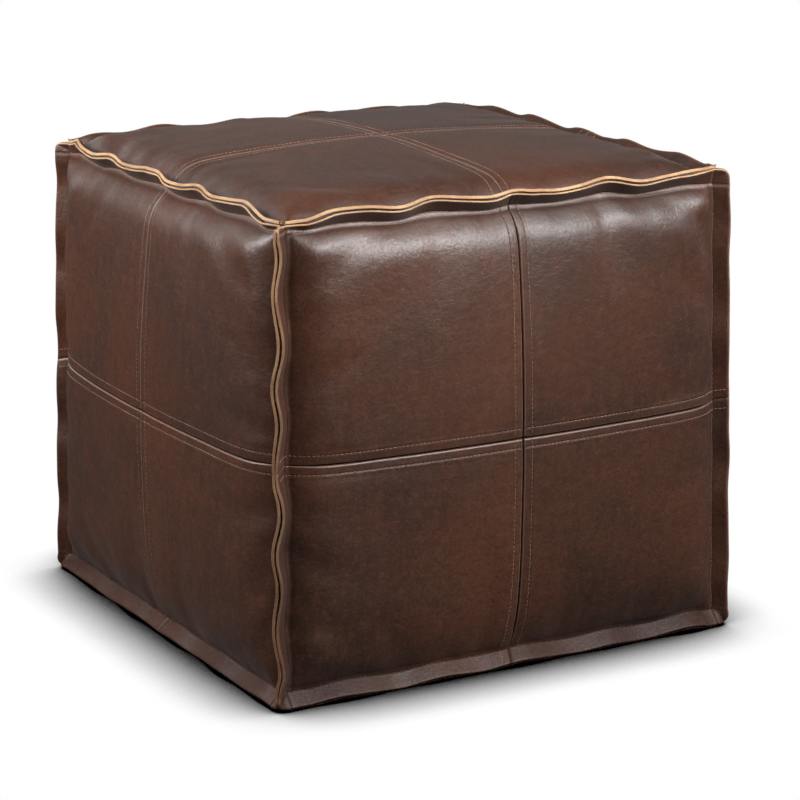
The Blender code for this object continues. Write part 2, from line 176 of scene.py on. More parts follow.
class Edge:
    """One flange. t runs from -1 to 1 along the edge, in the positive world direction."""

    def __init__(self, one, other, seed):
        self.faces = (one, other)
        self.normals = [FACE[one].normal, FACE[other].normal]
        self.along = 1 - np.abs(self.normals[0] + self.normals[1])
        self.is_top = "top" in self.faces
        self.is_base = "base" in self.faces
        rng = np.random.default_rng(seed)
        self.waves = [
            (size * rng.uniform(0.85, 1.15), count * rng.uniform(0.9, 1.1), rng.uniform(0, TURN))
            for size, count in zip(self.pick(WAVES), (math.pi * 5.2, math.pi * 9.4, math.pi * 2.5))
        ]
        self.swell_waves = [(rng.uniform(0, TURN), rng.uniform(3, 6)) for _ in range(2)]
        vertical = not (self.is_top or self.is_base)
        self.gap_size = GAP_UPRIGHT if vertical else GAP_LEVEL
        self.corner_gap = 0.0 if vertical else GAP_NEAR_CORNER
        self.dip_side = rng.choice((-1, 1))
        self.lean = rng.uniform(0.6, 1.0) * rng.choice((-1, 1))
        self.puckers = [
            (rng.uniform(0.7, 1.3), math.pi * count * rng.uniform(0.9, 1.1), rng.uniform(0, 6.28))
            for count in (8.5, 13.0, 17.5)
        ]
        self.stand_low, self.stand_high = 1.0, 1.0
        if self.is_top:
            level = self.normals[0] + self.normals[1] - np.array((0, 0, 1.0))
            self.stand_low, self.stand_high = (
                CORNER_STAND[tuple(int(c) for c in (level + end * self.along)[:2])]
                for end in (-1, 1)
            )

    def pick(self, values):
        """Of the values for the top, the base and the upright edges, this edge's own."""
        return values[0 if self.is_top else 1 if self.is_base else 2]

    def stand(self, t):
        return np.where(np.asarray(t) < 0, self.stand_low, self.stand_high)

    def outward(self, t):
        """Unit vectors from the seam to the raw edge."""
        t = np.asarray(t, float)
        if not self.is_top:
            return np.broadcast_to(unit(self.normals[0] + self.normals[1]), (*t.shape, 3))
        level = self.normals[0] + self.normals[1] - np.array((0, 0, 1.0))
        steeper = (TOP_LEAN_AT_CORNER - TOP_LEAN) * self.stand(t)
        lean = (TOP_LEAN + steeper * smooth(np.abs(t), 0.84, 1.0))[..., None]
        return level * np.cos(lean) + np.array((0, 0, 1.0)) * np.sin(lean)

    def through(self, t):
        """Unit vectors across the flange, towards the first face."""
        out = self.outward(t)
        lift = self.normals[0] - (out @ self.normals[0])[..., None] * out
        return lift / np.linalg.norm(lift, axis=-1, keepdims=True)

    def lateral(self, t):
        """How far the raw edges wander sideways, along through."""
        total = sum(size * np.sin(count * t + phase) for size, count, phase in self.waves)
        ends = 1 - smooth(np.abs(t), 0.90, 1.0)
        dip = -DIP * bell(t, 0.075 * self.dip_side, 0.045)
        return total * ends + dip * (1.0 if self.is_top else 0.5)

    def gap(self, t):
        """The space between the two layers at their raw edges."""
        a, b = self.swell_waves
        swing = 0.65 + 0.28 * np.sin(a[1] * t * 2 + a[0]) + 0.2 * np.sin(b[1] * t * 3 + b[0])
        near_corner = self.corner_gap * bell(np.abs(t), 0.86, 0.06)
        pinch = 1 - 0.9 * bell(t, 0, 0.04)
        ends = 1 - smooth(np.abs(t), 0.9, 1.0)
        return (self.gap_size * swing * ends + near_corner) * pinch

    def reach(self, t):
        a, b = self.swell_waves
        swing = 1 + 0.022 * np.sin(a[1] * 2.3 * t + b[0]) + 0.012 * np.sin(b[1] * 4 * t + a[0])
        if self.is_top:
            shorter = 1 - 0.84 * self.stand(t)
            swing = swing * (1 - shorter * smooth(np.abs(t), 0.80, 1.0))
        return FLANGE * swing

    def pucker(self, t, distance):
        """Small folds that run from the seam into the face, as heights over the face."""
        folds = sum(share * np.sin(count * t + phase) for share, count, phase in self.puckers)
        strength = 0.65 + 0.35 * np.sin(self.puckers[0][1] * 0.31 * t + self.puckers[1][2])
        away = np.exp(-distance / PUCKER_REACH) * smooth(distance, 0.0, 0.005)
        return self.pick(PUCKERS) * folds * strength * away * (1 - smooth(np.abs(t), 0.93, 1.0))


EDGE_PAIRS = [(end, side) for end in ("top", "base") for side in ("front", "back", "left", "right")]
EDGE_PAIRS += [(one, side) for one in ("front", "back") for side in ("left", "right")]
EDGES = {frozenset(pair): Edge(*pair, seed=20 + i) for i, pair in enumerate(EDGE_PAIRS)}


def edge_between(face, direction):
    return EDGES[frozenset((face.name, name_of(direction)))]


def seam_offset(edge, t):
    """How far the seam line stands off a straight one."""
    return edge.through(t) * np.asarray(SEAM_SHARE * edge.lateral(t))[..., None]


# ---- cloth simulation of the cover


def lattice():
    """Vertices of a cube's surface, as whole-number places, and its quads, facing out."""
    index, places, quads = {}, [], []

    def vertex(place):
        if place not in index:
            index[place] = len(places)
            places.append(place)
        return index[place]

    for axis in range(3):
        for side in (0, CELLS):
            for i in range(CELLS):
                for j in range(CELLS):
                    quad = []
                    for di, dj in ((0, 0), (1, 0), (1, 1), (0, 1)):
                        place = [0, 0, 0]
                        place[axis] = side
                        place[(axis + 1) % 3] = i + di
                        place[(axis + 2) % 3] = j + dj
                        quad.append(vertex(tuple(place)))
                    quads.append(quad if side else quad[::-1])
    return index, np.array(places), quads


def start_shape(places):
    """The seams' box with its wavy seams, and which vertices are on them."""
    abc = 2 * places / CELLS - 1
    share = (abc[:, 2] + 1) / 2
    half = HALF_BASE + (HALF_TOP - HALF_BASE) * share
    points = np.stack(
        [abc[:, 0] * half, abc[:, 1] * half, BASE_Z + (TOP_Z - BASE_Z) * share], axis=1
    )
    flat = np.abs(abc) == 1
    for row, (place, on) in enumerate(zip(abc, flat)):
        if on.sum() == 2:
            one, other = [np.eye(3)[k] * place[k] for k in range(3) if on[k]]
            edge = EDGES[frozenset((name_of(one), name_of(other)))]
            points[row] += seam_offset(edge, place[~on][0])
        elif on.sum() == 1:
            rest = place[~on]
            swell = START_SWELL * (1 - rest[0] ** 2) * (1 - rest[1] ** 2)
            points[row] += np.where(on, place, 0) * swell
    return points, flat.sum(axis=1) >= 2


CLOTH = {
    "quality": 6,
    "mass": 0.3,
    "tension_stiffness": 40,
    "compression_stiffness": 40,
    "shear_stiffness": 20,
    "bending_stiffness": 0.5,
    "tension_damping": 10,
    "compression_damping": 10,
    "air_damping": 4,
    "use_pressure": True,
    "uniform_pressure_force": 4,
    "shrink_min": -0.012,
    "vertex_group_mass": "seams",
}
CLOTH_FRAMES = 22
START_SWELL = 0.006  # how far the faces already bulge when the simulation starts


def mesh_object(name, vertices, faces):
    mesh = bpy.data.meshes.new(name)
    mesh.from_pydata([tuple(v) for v in vertices], [], faces)
    obj = bpy.data.objects.new(name, mesh)
    bpy.context.scene.collection.objects.link(obj)
    return obj


def run_cloth(points, quads, pinned):
    """Blow the cover up as cloth, held at its seams, and return its points."""
    obj = mesh_object("cover_cloth", points, quads)
    mesh = obj.data
    group = obj.vertex_groups.new(name="seams")
    group.add([int(k) for k in np.nonzero(pinned)[0]], 1.0, "ADD")
    cloth = obj.modifiers.new("Cloth", "CLOTH")
    for name, value in CLOTH.items():
        setattr(cloth.settings, name, value)
    cloth.settings.effector_weights.gravity = 0
    cloth.point_cache.frame_start = 1
    cloth.point_cache.frame_end = CLOTH_FRAMES
    for number in range(1, CLOTH_FRAMES + 1):
        bpy.context.scene.frame_set(number)
    evaluated = obj.evaluated_get(bpy.context.evaluated_depsgraph_get())
    moved = np.empty(len(mesh.vertices) * 3, np.float32)
    evaluated.data.vertices.foreach_get("co", moved)
    bpy.context.scene.frame_set(1)
    bpy.data.objects.remove(obj)
    bpy.data.meshes.remove(mesh)
    return moved.reshape(-1, 3).astype(float)


def blurred(field, times):
    """A face's displacement, smoothed inside its border."""
    for _ in range(times):
        inner = field[1:-1, 1:-1]
        round_it = field[:-2, 1:-1] + field[2:, 1:-1] + field[1:-1, :-2] + field[1:-1, 2:]
        field = field.copy()
        field[1:-1, 1:-1] = inner * 0.5 + round_it * 0.125
    return field


def face_grids():
    """For each face, (CELLS + 1) squared points of its flesh side. The crown is added later."""
    index, places, quads = lattice()
    points, pinned = start_shape(places)
    moved = run_cloth(points, quads, pinned)
    stops = np.arange(CELLS + 1)
    shares = 2 * stops / CELLS - 1
    u, v = np.meshgrid(shares, shares, indexing="ij")
    grids = {}
    for face in FACE.values():
        corner_place = np.where(face.normal > 0, CELLS, 0)
        rows = np.empty((CELLS + 1, CELLS + 1), int)
        for i in stops:
            for j in stops:
                place = corner_place + direction_place(face.across, i) + direction_place(face.up, j)
                rows[i, j] = index[tuple(int(k) for k in place)]
        grid = moved[rows]
        flat = face.plane(u, v)
        away = grid - flat
        out = (away @ face.normal)[..., None]
        level = away - out * face.normal
        if face.name == "base":
            away = base_rest(u, v)[..., None] * face.normal + on_border(away)
        else:
            crumple = crumples(out * CROWN / out[CELLS // 2, CELLS // 2])
            away = level + (crumple + on_border(out)) * face.normal
        grids[face.name] = flat + blurred(away, 1)
    return grids


CRUMPLE_SHARE = 0.8  # how much of the simulated unevenness the faces keep


def crumples(height):
    """What the simulated face has beyond a smooth crown: its uneven swells and folds."""
    rough = height - blurred(height, 40)
    even = (rough + rough[::-1] + rough[:, ::-1] + rough[::-1, ::-1]) / 4
    return CRUMPLE_SHARE * (rough - even)


# The stuffed faces bulge out next to their seams: (share, distance, power) of that first rise
RISE_AT_TOP = (0.585, 0.0150, 1.6)
RISE_AT_BASE = (0.55, 0.026, 1.2)
RISE_AT_SIDE = (0.56, 0.0185, 1.35)


def rise(distance, half, shape):
    """0 at an edge to 1 in the middle: a quick swell, then a parabola."""
    share, reach, power = shape
    away = np.clip(half - distance, 0, half)
    swell = share * (1 - np.exp(-((away / reach) ** power)))
    return swell + (1 - share) * (1 - (1 - away / half) ** 2)


def crown_height(face, du, dv, side_v):
    """How far the stuffing pushes a point out of its plane."""
    if face.name == "top":
        shape_u = shape_v = RISE_AT_TOP
    else:
        shape_u = RISE_AT_SIDE
        shape_v = RISE_AT_TOP if side_v > 0 else RISE_AT_BASE
    rise_u = np.maximum(rise(du, face.half_u, shape_u), 1e-4)
    rise_v = np.maximum(rise(dv, face.half_v, shape_v), 1e-4)
    return CROWN * (rise_u**-4 + rise_v**-4 - 1) ** -0.25


def on_border(field):
    """field on the border, fading to nothing within a few cells."""
    n = CELLS
    i, j = np.meshgrid(np.arange(n + 1), np.arange(n + 1), indexing="ij")
    total = np.zeros_like(field)
    for near, edge_value in (
        (i, field[:1, :]),
        (n - i, field[-1:, :]),
        (j, field[:, :1]),
        (n - j, field[:, -1:]),
    ):
        total += bell(near, 0, 1.2)[..., None] * edge_value
    return total


def direction_place(way, steps):
    """The lattice place that is some steps along a world direction."""
    axis = int(np.argmax(np.abs(way)))
    place = np.zeros(3, int)
    place[axis] = steps if way[axis] > 0 else CELLS - steps
    return place


BASE_FLAT_TO = 0.86  # the base rests flat out to this share of its half width


def base_rest(u, v):
    """How far the base's flesh side stands below its seams: flat on the floor in the middle."""
    drop = BASE_Z - HIDE - LAYER_SHIFT - 0.0004
    level = 1.0
    for w in (u, v):
        level = level * np.sin(np.clip((1 - np.abs(w)) / (1 - BASE_FLAT_TO), 0, 1) * math.pi / 2)
    return drop * level


class Surface:
    """A face's flesh side, read between its grid points by a Catmull-Rom surface."""

    def __init__(self, grid):
        g = np.pad(grid, ((1, 1), (1, 1), (0, 0)), mode="edge")
        g[0], g[-1] = 2 * g[1] - g[2], 2 * g[-2] - g[-3]
        g[:, 0], g[:, -1] = 2 * g[:, 1] - g[:, 2], 2 * g[:, -2] - g[:, -3]
        self.grid = g

    @staticmethod
    def weights(x):
        place = np.clip((x + 1) / 2 * CELLS, 0, CELLS)
        cell = np.minimum(place.astype(int), CELLS - 1)
        t = place - cell
        w = np.stack(
            [
                (-t + 2 * t**2 - t**3) / 2,
                (2 - 5 * t**2 + 3 * t**3) / 2,
                (t + 4 * t**2 - 3 * t**3) / 2,
                (-(t**2) + t**3) / 2,
            ]
        )
        return cell, w

    def at(self, u, v):
        i, wu = self.weights(u)
        j, wv = self.weights(v)
        total = 0
        for a in range(4):
            for b in range(4):
                total = total + (wu[a] * wv[b])[..., None] * self.grid[i + a, j + b]
        return total


SURFACES = {name: Surface(grid) for name, grid in face_grids().items()}


# ---- quarter panels

MM = 0.001
# Cross sections at a cross seam, turned in or butted, in millimetres:
# (distance from the seam line, height over the flesh side)
FOLD_GRAIN = ((0.5, -5.5), (0.5, -2.8), (0.5, 0.6), (0.78, 1.45), (1.4, 2.12), (2.3, 2.4))
FOLD_FLESH = ((2.4, -5.5), (2.4, -2.8), (2.4, -0.4), (2.42, 0.0), (2.7, 0.0), (3.0, 0.0))
BUTT_GRAIN = ((0.35, 0.5), (0.35, 0.9), (0.38, 1.4), (0.55, 1.9), (0.95, 2.25), (1.7, 2.4))
BUTT_FLESH = ((0.45, 0.0), (0.7, 0.0), (1.0, 0.0), (1.4, 0.0), (1.9, 0.0), (2.6, 0.0))
# Grid lines of a sheet, in millimetres: from the cross seam, and inside and outside the edge seam
SEAM_STOPS = (3.4, 4.8, 6.4, 7.4, 8.0, 8.5, 9.0, 9.7, 10.8, 12.0, 13.2, 15.0, 18.0, 22.0, 28.0)
EDGE_STOPS = (24.0, 18.5, 14.0, 10.5, 8.0, 6.2, 4.9, 3.9, 2.9, 1.9, 0.0)
FLANGE_STOPS = (1.9, 3.2, 5.0, 7.5, 10.0, 12.5, 14.6, 15.9, 16.35, 16.5)
SPAN_STEP = 5.5  # between the grid lines of the open face
TOPSTITCH = 8.5  # from the cross seam to its topstitching, in millimetres
FOOT_OUT, FOOT_DOWN = 0.0035, 0.0122  # the upright flanges' lower corner, from the seam corner
RIM_SHARES = (0.15, 0.38, 0.62, 0.85)  # the cut edge's own rings, from grain to flesh
RIM_BULGE = 0.00018
CURL = 0.0009  # how far the lid's flanges arch between seam and raw edge
CROSS_LEAN = 0.0042  # how far a flange leans along its edge where a cross seam ends in it
LID_LONGER = 1.05  # the lid's sheet reaches this much further in its flanges
EAR_LEAN = 0.0035  # how far the upper corner ears lean back
CROSS_DIP, CROSS_WIDTH = 0.0010, 0.012  # how the stuffing is drawn in along a cross seam
BASE_DIP, BASE_WIDTH = 0.0045, 0.016  # and under the base
ZIP_DIP, ZIP_WIDTH = 0.0062, 0.020  # and along its zip
ZIP_EDGE = 0.0067  # how far the base panels' edges stand back from the zip
ZIP_OPEN_TO, ZIP_CLOSED_FROM = 0.140, 0.156  # from the middle of the zip
# Heights of the grain side over the plain sheet, in millimetres
ALLOWANCE = 0.30  # over the leather that is turned in
CHANNEL = 0.38  # the topstitching lies this deep
GROOVE = 0.55  # beside the edge roll
ROLLS = (0.45, 0.10, 0.25)  # beside the top, base and upright edge seams
ROUNDING = 0.30  # of the raw edge
LID_THICKER, SIDE_SKIVED = 0.55, -0.75  # where the lid's flange overlaps a side's


def sheet_stops(half):
    """Distances from a cross seam, in metres, where a panel's sheet has its grid lines."""
    length = half / MM
    span = length - EDGE_STOPS[0] - SEAM_STOPS[-1]
    count = max(2, round(span / SPAN_STEP))
    inner = [SEAM_STOPS[-1] + span * k / count for k in range(1, count)]
    shared = [*SEAM_STOPS, *inner, *[length - x for x in EDGE_STOPS]]
    shared += [length + x for x in FLANGE_STOPS]
    return np.array(shared) * MM


def make_piece(name, vertices, faces, materials, replaced):
    """A smooth mesh that rides on the cover and stands for nodes of the frame."""
    obj = mesh_object(name, vertices, faces)
    obj.data.polygons.foreach_set("use_smooth", [True] * len(faces))
    for material in materials:
        obj.data.materials.append(material)
    obj.data.update()
    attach(obj, "cover")
    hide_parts(*replaced)
    return obj


class Panel:
    """A quarter of a face, from the two cross seams to the raw edges of its two flanges."""

    def __init__(self, face, side_u, side_v):
        self.face, self.side_u, self.side_v = face, side_u, side_v
        self.edge_u = edge_between(face, face.across * side_u)
        self.edge_v = edge_between(face, face.up * side_v)
        self.along_u = side_sign(face.up) * side_v  # t on edge_u from this panel's v
        self.along_v = side_sign(face.across) * side_u
        self.stops_u = sheet_stops(face.half_u)
        self.stops_v = sheet_stops(face.half_v)

    @property
    def name(self):
        words = {}
        for direction in (self.face.across * self.side_u, self.face.up * self.side_v):
            words["xyz"[int(np.argmax(np.abs(direction)))]] = name_of(direction)
        words = {k: {"top": "upper", "base": "lower"}.get(w, w) for k, w in words.items()}
        order = [words[k] for k in "zyx" if k in words]
        return "_".join([self.face.name, "panel", *order])

    def flesh(self, du, dv):
        """Points of the flesh side, from distances from the two cross seams."""
        face = self.face
        u, v = np.minimum(du / face.half_u, 1), np.minimum(dv / face.half_v, 1)
        fu = np.maximum(du - face.half_u, 0) / FLANGE
        fv = np.maximum(dv - face.half_v, 0) / FLANGE
        points = SURFACES[face.name].at(u * self.side_u, v * self.side_v)
        lift = LAYER_SHIFT + seam_dip(face, du, dv)
        if face.name != "base":
            lift = lift + crown_height(face, du, dv, self.side_v)
            lift = lift + self.edge_u.pucker(self.along_u * v, np.maximum(face.half_u - du, 0))
            lift = lift + self.edge_v.pucker(self.along_v * u, np.maximum(face.half_v - dv, 0))
        points = points + face.normal * lift[..., None]
        across = self.flange(self.edge_u, self.along_u * v, fu)
        upward = self.flange(self.edge_v, self.along_v * u, fv)
        if face.normal[2] == 0:
            points = points + self.ear(across, upward, fu, fv)
        else:
            longest = np.maximum(np.maximum(fu, fv), 1e-9)
            fan = longest / np.maximum(fu + fv, 1e-9)
            fan = np.where(np.minimum(fu, fv) > 0, fan, 1.0)
            fan = fan if face.name == "top" else fan**2
            points = points + (across + upward) * fan[..., None]
        return points

    def ear(self, across, upward, fu, fv):
        """Both flanges of a side panel together. Their shared corner is rounded."""
        square = 3.6 if self.edge_v.is_top else 2.6
        longest = np.maximum(np.maximum(fu, fv), 1e-9)
        radius = (fu**square + fv**square) ** (1 / square)
        both = np.where(np.minimum(fu, fv) > 0, longest / np.maximum(radius, 1e-9), 1.0)
        if not self.edge_v.is_top:
            along = self.edge_u.outward(fu)
            down = along * FOOT_OUT - np.array((0, 0, 1.0)) * FOOT_DOWN
            turned = smooth(fu, 0.0, 0.7)[..., None]
            upward = upward * (1 - turned) + down * (turned * fv[..., None])
        total = (across + upward) * both[..., None]
        if self.edge_v.is_top:
            lean_back = np.minimum(fu, fv) * EAR_LEAN
            total = total - self.face.normal * lean_back[..., None]
        return total

    def flange(self, edge, t, share):
        sign = 1 if edge.faces[0] == self.face.name else -1
        lateral = edge.lateral(t) * (share * (1 - SEAM_SHARE) * (1.25 - 0.25 * share))
        half_gap = sign * edge.gap(t) / 2 * share**1.4
        curl = CURL * 4 * share * (1 - share) if edge.is_top else 0.0
        longer = LID_LONGER if self.face.name == "top" else 1.0
        forward = share * edge.reach(t) * longer
        lean = CROSS_LEAN * edge.lean * share * bell(t, 0, 0.075)
        total = forward[..., None] * edge.outward(t)
        total = total + (lateral + half_gap + curl)[..., None] * edge.through(t)
        return total + lean[..., None] * edge.along


def side_sign(direction):
    return 1 if direction.sum() > 0 else -1


def seam_dip(face, du, dv):
    """The faces are drawn in a little along their cross seams."""
    inside = 1 - smooth(du / face.half_u, 0.84, 0.99)
    inside = inside * (1 - smooth(dv / face.half_v, 0.84, 0.99))
    if face.name == "base":
        cross = BASE_DIP * bell(du, 0, BASE_WIDTH)
        return -(cross + ZIP_DIP * np.exp(-((dv / ZIP_WIDTH) ** 4))) * inside
    cross = bell(du, 0, CROSS_WIDTH) + bell(dv, 0, CROSS_WIDTH)
    return -CROSS_DIP * cross * inside


def lip_share(other, half, base_zip):
    """1 where a cross seam's edge is turned in, 0 where it is only butted, on the flange."""
    if base_zip:
        return np.zeros_like(other)
    return 1 - smooth(other, half - 0.030, half - 0.012)


def relief(distance, half, edge):
    """Height of the grain side over the plain sheet: stitch channel, allowance and edge roll."""
    d = distance / MM
    x = (half - distance) / MM
    height = ALLOWANCE * (1 - smooth(d, 9.8, 13.0))
    height -= CHANNEL * bell(d, TOPSTITCH, 0.62)
    face_side = (x > -0.5).astype(float)
    height -= GROOVE * bell(x, 5.2, 1.5) * face_side
    height += edge.pick(ROLLS) * bell(x, 2.6, 1.1) * face_side
    return height * MM


def tip_round(panel, edge, distance, half):
    """The raw edge is a little rounded. Where the lid's flange overlaps it is skived thinner."""
    x = (distance - half) / MM
    height = -ROUNDING * smooth(x, 15.8, 16.5)
    if edge.is_top:
        thicker = LID_THICKER if panel.face.name == "top" else SIDE_SKIVED
        height = height + thicker * smooth(x, 5.0, 15.0)
    return height * MM


def zip_gap(du):
    """How far the base panels' edges stand back from the zip."""
    return ZIP_EDGE * (1 - smooth(du, ZIP_OPEN_TO, ZIP_CLOSED_FROM))


def build_grid(panel, side):
    """One side of the sheet: 0 is the grain, 1 the flesh.

    Returns its points, their distances from the two cross seams, and how far each lies below
    the sheet's outer side where the edge is turned in.
    """
    face = panel.face
    is_base = face.name == "base"
    fold = np.array((FOLD_GRAIN, FOLD_FLESH)[side]) * MM
    butt = np.array((BUTT_GRAIN, BUTT_FLESH)[side]) * MM
    k = len(fold)
    n, m = k + len(panel.stops_u), k + len(panel.stops_v)
    other_v = np.concatenate([fold[:, 0], panel.stops_v])
    other_u = np.concatenate([fold[:, 0], panel.stops_u])
    share_u = lip_share(other_v, face.half_v, False)
    share_v = lip_share(other_u, face.half_u, is_base)
    if is_base:
        share_u = share_u * smooth(other_v, 0.010, 0.020)
    DU = np.repeat(other_u[:, None], m, axis=1)
    DV = np.repeat(other_v[None, :], n, axis=0)
    drop_u, drop_v = np.zeros((n, m)), np.zeros((n, m))
    full = HIDE if side == 0 else 0.0
    close_u = 1 - 0.85 * smooth(other_v, face.half_v - 0.006, face.half_v + 0.002)
    close_v = 1 - 0.85 * smooth(other_u, face.half_u - 0.006, face.half_u + 0.002)
    if is_base:
        close_v[:] = 1.0
    for r in range(k):
        DU[r] = fold[r, 0] * share_u + butt[r, 0] * (1 - share_u) * close_u
        drop_u[r] = full - (fold[r, 1] * share_u + butt[r, 1] * (1 - share_u))
        DV[:, r] = fold[r, 0] * share_v + butt[r, 0] * (1 - share_v) * close_v
        drop_v[:, r] = full - (fold[r, 1] * share_v + butt[r, 1] * (1 - share_v))
    if is_base:
        DV = DV + zip_gap(DU) * np.clip(1 - DV / 0.06, 0, 1)
    drop = (np.abs(drop_u) ** 4 + np.abs(drop_v) ** 4) ** 0.25
    points = panel.flesh(DU, DV)
    normals = grid_normals(panel, DU, DV, k)
    height = full - drop
    if side == 0:
        inside = 1 - smooth(drop, 0.0002, 0.0012)
        near_v = 1 - smooth(DV, face.half_v - 0.004, face.half_v)
        near_u = 1 - smooth(DU, face.half_u - 0.004, face.half_u)
        bumps = relief(DU, face.half_u, panel.edge_u) * near_v
        bumps += relief(DV, face.half_v, panel.edge_v) * near_u
        height = height + bumps * inside
        height = height + tip_round(panel, panel.edge_u, DU, face.half_u)
        height = height + tip_round(panel, panel.edge_v, DV, face.half_v)
    return kept_off_floor(points + normals * height[..., None]), DU, DV, drop


FLOOR_SOFTNESS = 0.0004  # how gently a sheet that meets the floor lies down on it


def kept_off_floor(points):
    """A flange that would hang through the floor lies down on it."""
    lying = FLOOR_SOFTNESS * np.logaddexp(0, points[..., 2:] / FLOOR_SOFTNESS)
    return np.concatenate([points[..., :2], lying], axis=-1)


def grid_normals(panel, DU, DV, k):
    """Normals of the flesh side, from a grid that is spread out where stops coincide."""
    n, m = DU.shape
    spread = np.linspace(-1.8, 0.0, k) * MM
    U, V = DU.copy(), DV.copy()
    U[:k] = DU[k : k + 1] * 0.7 + spread[:, None]
    V[:, :k] = DV[:, k : k + 1] * 0.7 + spread[None, :]
    return sheet_normals(panel.flesh(U, V), panel)


def sheet_normals(points, panel):
    """Unit normals of a grid of a panel's points, facing out."""
    normal = np.cross(np.gradient(points, axis=0), np.gradient(points, axis=1))
    normal = normal * (panel.side_u * panel.side_v)
    return normal / np.maximum(np.linalg.norm(normal, axis=-1, keepdims=True), 1e-12)


def boundary(n, m):
    loop = [(i, 0) for i in range(n - 1)]
    loop += [(n - 1, j) for j in range(m - 1)]
    loop += [(i, m - 1) for i in range(n - 1, 0, -1)]
    loop += [(0, j) for j in range(m - 1, 0, -1)]
    return loop


def build_panel(panel, materials):
    grain, DU, DV, drop = build_grid(panel, 0)
    flesh, _, _, _ = build_grid(panel, 1)
    n, m = DU.shape
    loop = boundary(n, m)
    at = np.array([i * m + j for i, j in loop])
    flat_grain, flat_flesh = grain.reshape(-1, 3), flesh.reshape(-1, 3)
    rows = []
    step_out = tip_step(panel, DU, DV).reshape(-1, 3)[at]
    for share in RIM_SHARES:
        bulge = math.sin(math.pi * share) * RIM_BULGE
        rows.append(flat_grain[at] * (1 - share) + flat_flesh[at] * share + step_out * bulge)
    vertices = np.concatenate([flat_grain, flat_flesh, *rows])
    size, count = n * m, len(loop)
    quads, slots = [], []
    for start, one, other, slot in ((0, m, 1, 0), (size, 1, m, 2)):
        for i in range(n - 1):
            for j in range(m - 1):
                a = start + i * m + j
                quads.append((a, a + one, a + m + 1, a + other))
                slots.append(slot)
    levels = [at] + [2 * size + r * count + np.arange(count) for r in range(len(rows))]
    levels.append(at + size)
    for r in range(len(levels) - 1):
        upper, lower = levels[r], levels[r + 1]
        for b in range(count):
            c = (b + 1) % count
            quads.append((int(lower[b]), int(lower[c]), int(upper[c]), int(upper[b])))
            slots.append(1)
    if panel.side_u * panel.side_v < 0:
        quads = [q[::-1] for q in quads]
    piece = make_piece("hide_" + panel.name, vertices, quads, materials, [panel.name])
    piece.data.polygons.foreach_set("material_index", slots)
    add_hide_map(piece.data, panel, DU, DV, at, len(rows))
    add_marks(piece.data, panel, DU, DV, drop, at, len(rows))
    piece.data.update()
    return grain


def tip_step(panel, DU, DV):
    """Unit vector out of the raw edge, zero elsewhere."""
    on_u = (DU > panel.face.half_u + 0.016)[..., None]
    on_v = (DV > panel.face.half_v + 0.016)[..., None]
    t_u = panel.along_u * np.minimum(DV / panel.face.half_v, 1)
    t_v = panel.along_v * np.minimum(DU / panel.face.half_u, 1)
    return on_u * panel.edge_u.outward(t_u) + on_v * panel.edge_v.outward(t_v)


def spread_to_all(values, at, rows):
    flat = values.reshape(-1)
    return np.concatenate([flat, flat] + [flat[at]] * rows)


def add_hide_map(mesh, panel, DU, DV, at, rows):
    """A flat map of the sheet in metres, so that grain and brush marks follow the leather."""
    shift = (sum(ord(c) * (k + 1) for k, c in enumerate(panel.name)) % 97) * 0.37
    u = spread_to_all(DU * panel.side_u, at, rows) + shift
    v = spread_to_all(DV * panel.side_v, at, rows)
    layer = mesh.uv_layers.new(name="hide")
    corners = np.empty(len(mesh.loops), int)
    mesh.loops.foreach_get("vertex_index", corners)
    layer.data.foreach_set("uv", np.stack([u[corners], v[corners]], axis=1).ravel())


# How much painted highlight the rolls get, and how worn the raw edges are, with painted highlight there
# too: top, base, upright
ROLL_HIGHLIGHT = (0.9, 0.0, 0.3)
TIP_WEAR_AND_HIGHLIGHT = (0.9, 0.0, 0.28)
# How much pale undyed leather the cut edges show. Where they show less, they are dark with painted shade
RAW_LIT_SHARES = (1.0, 0.0, 0.10)
# How much redder each face's hides are than the plainest
WARMTH = {"left": 0.9, "front": 0.2, "right": 0.5, "back": 0.3, "top": 0.3, "base": 0.2}


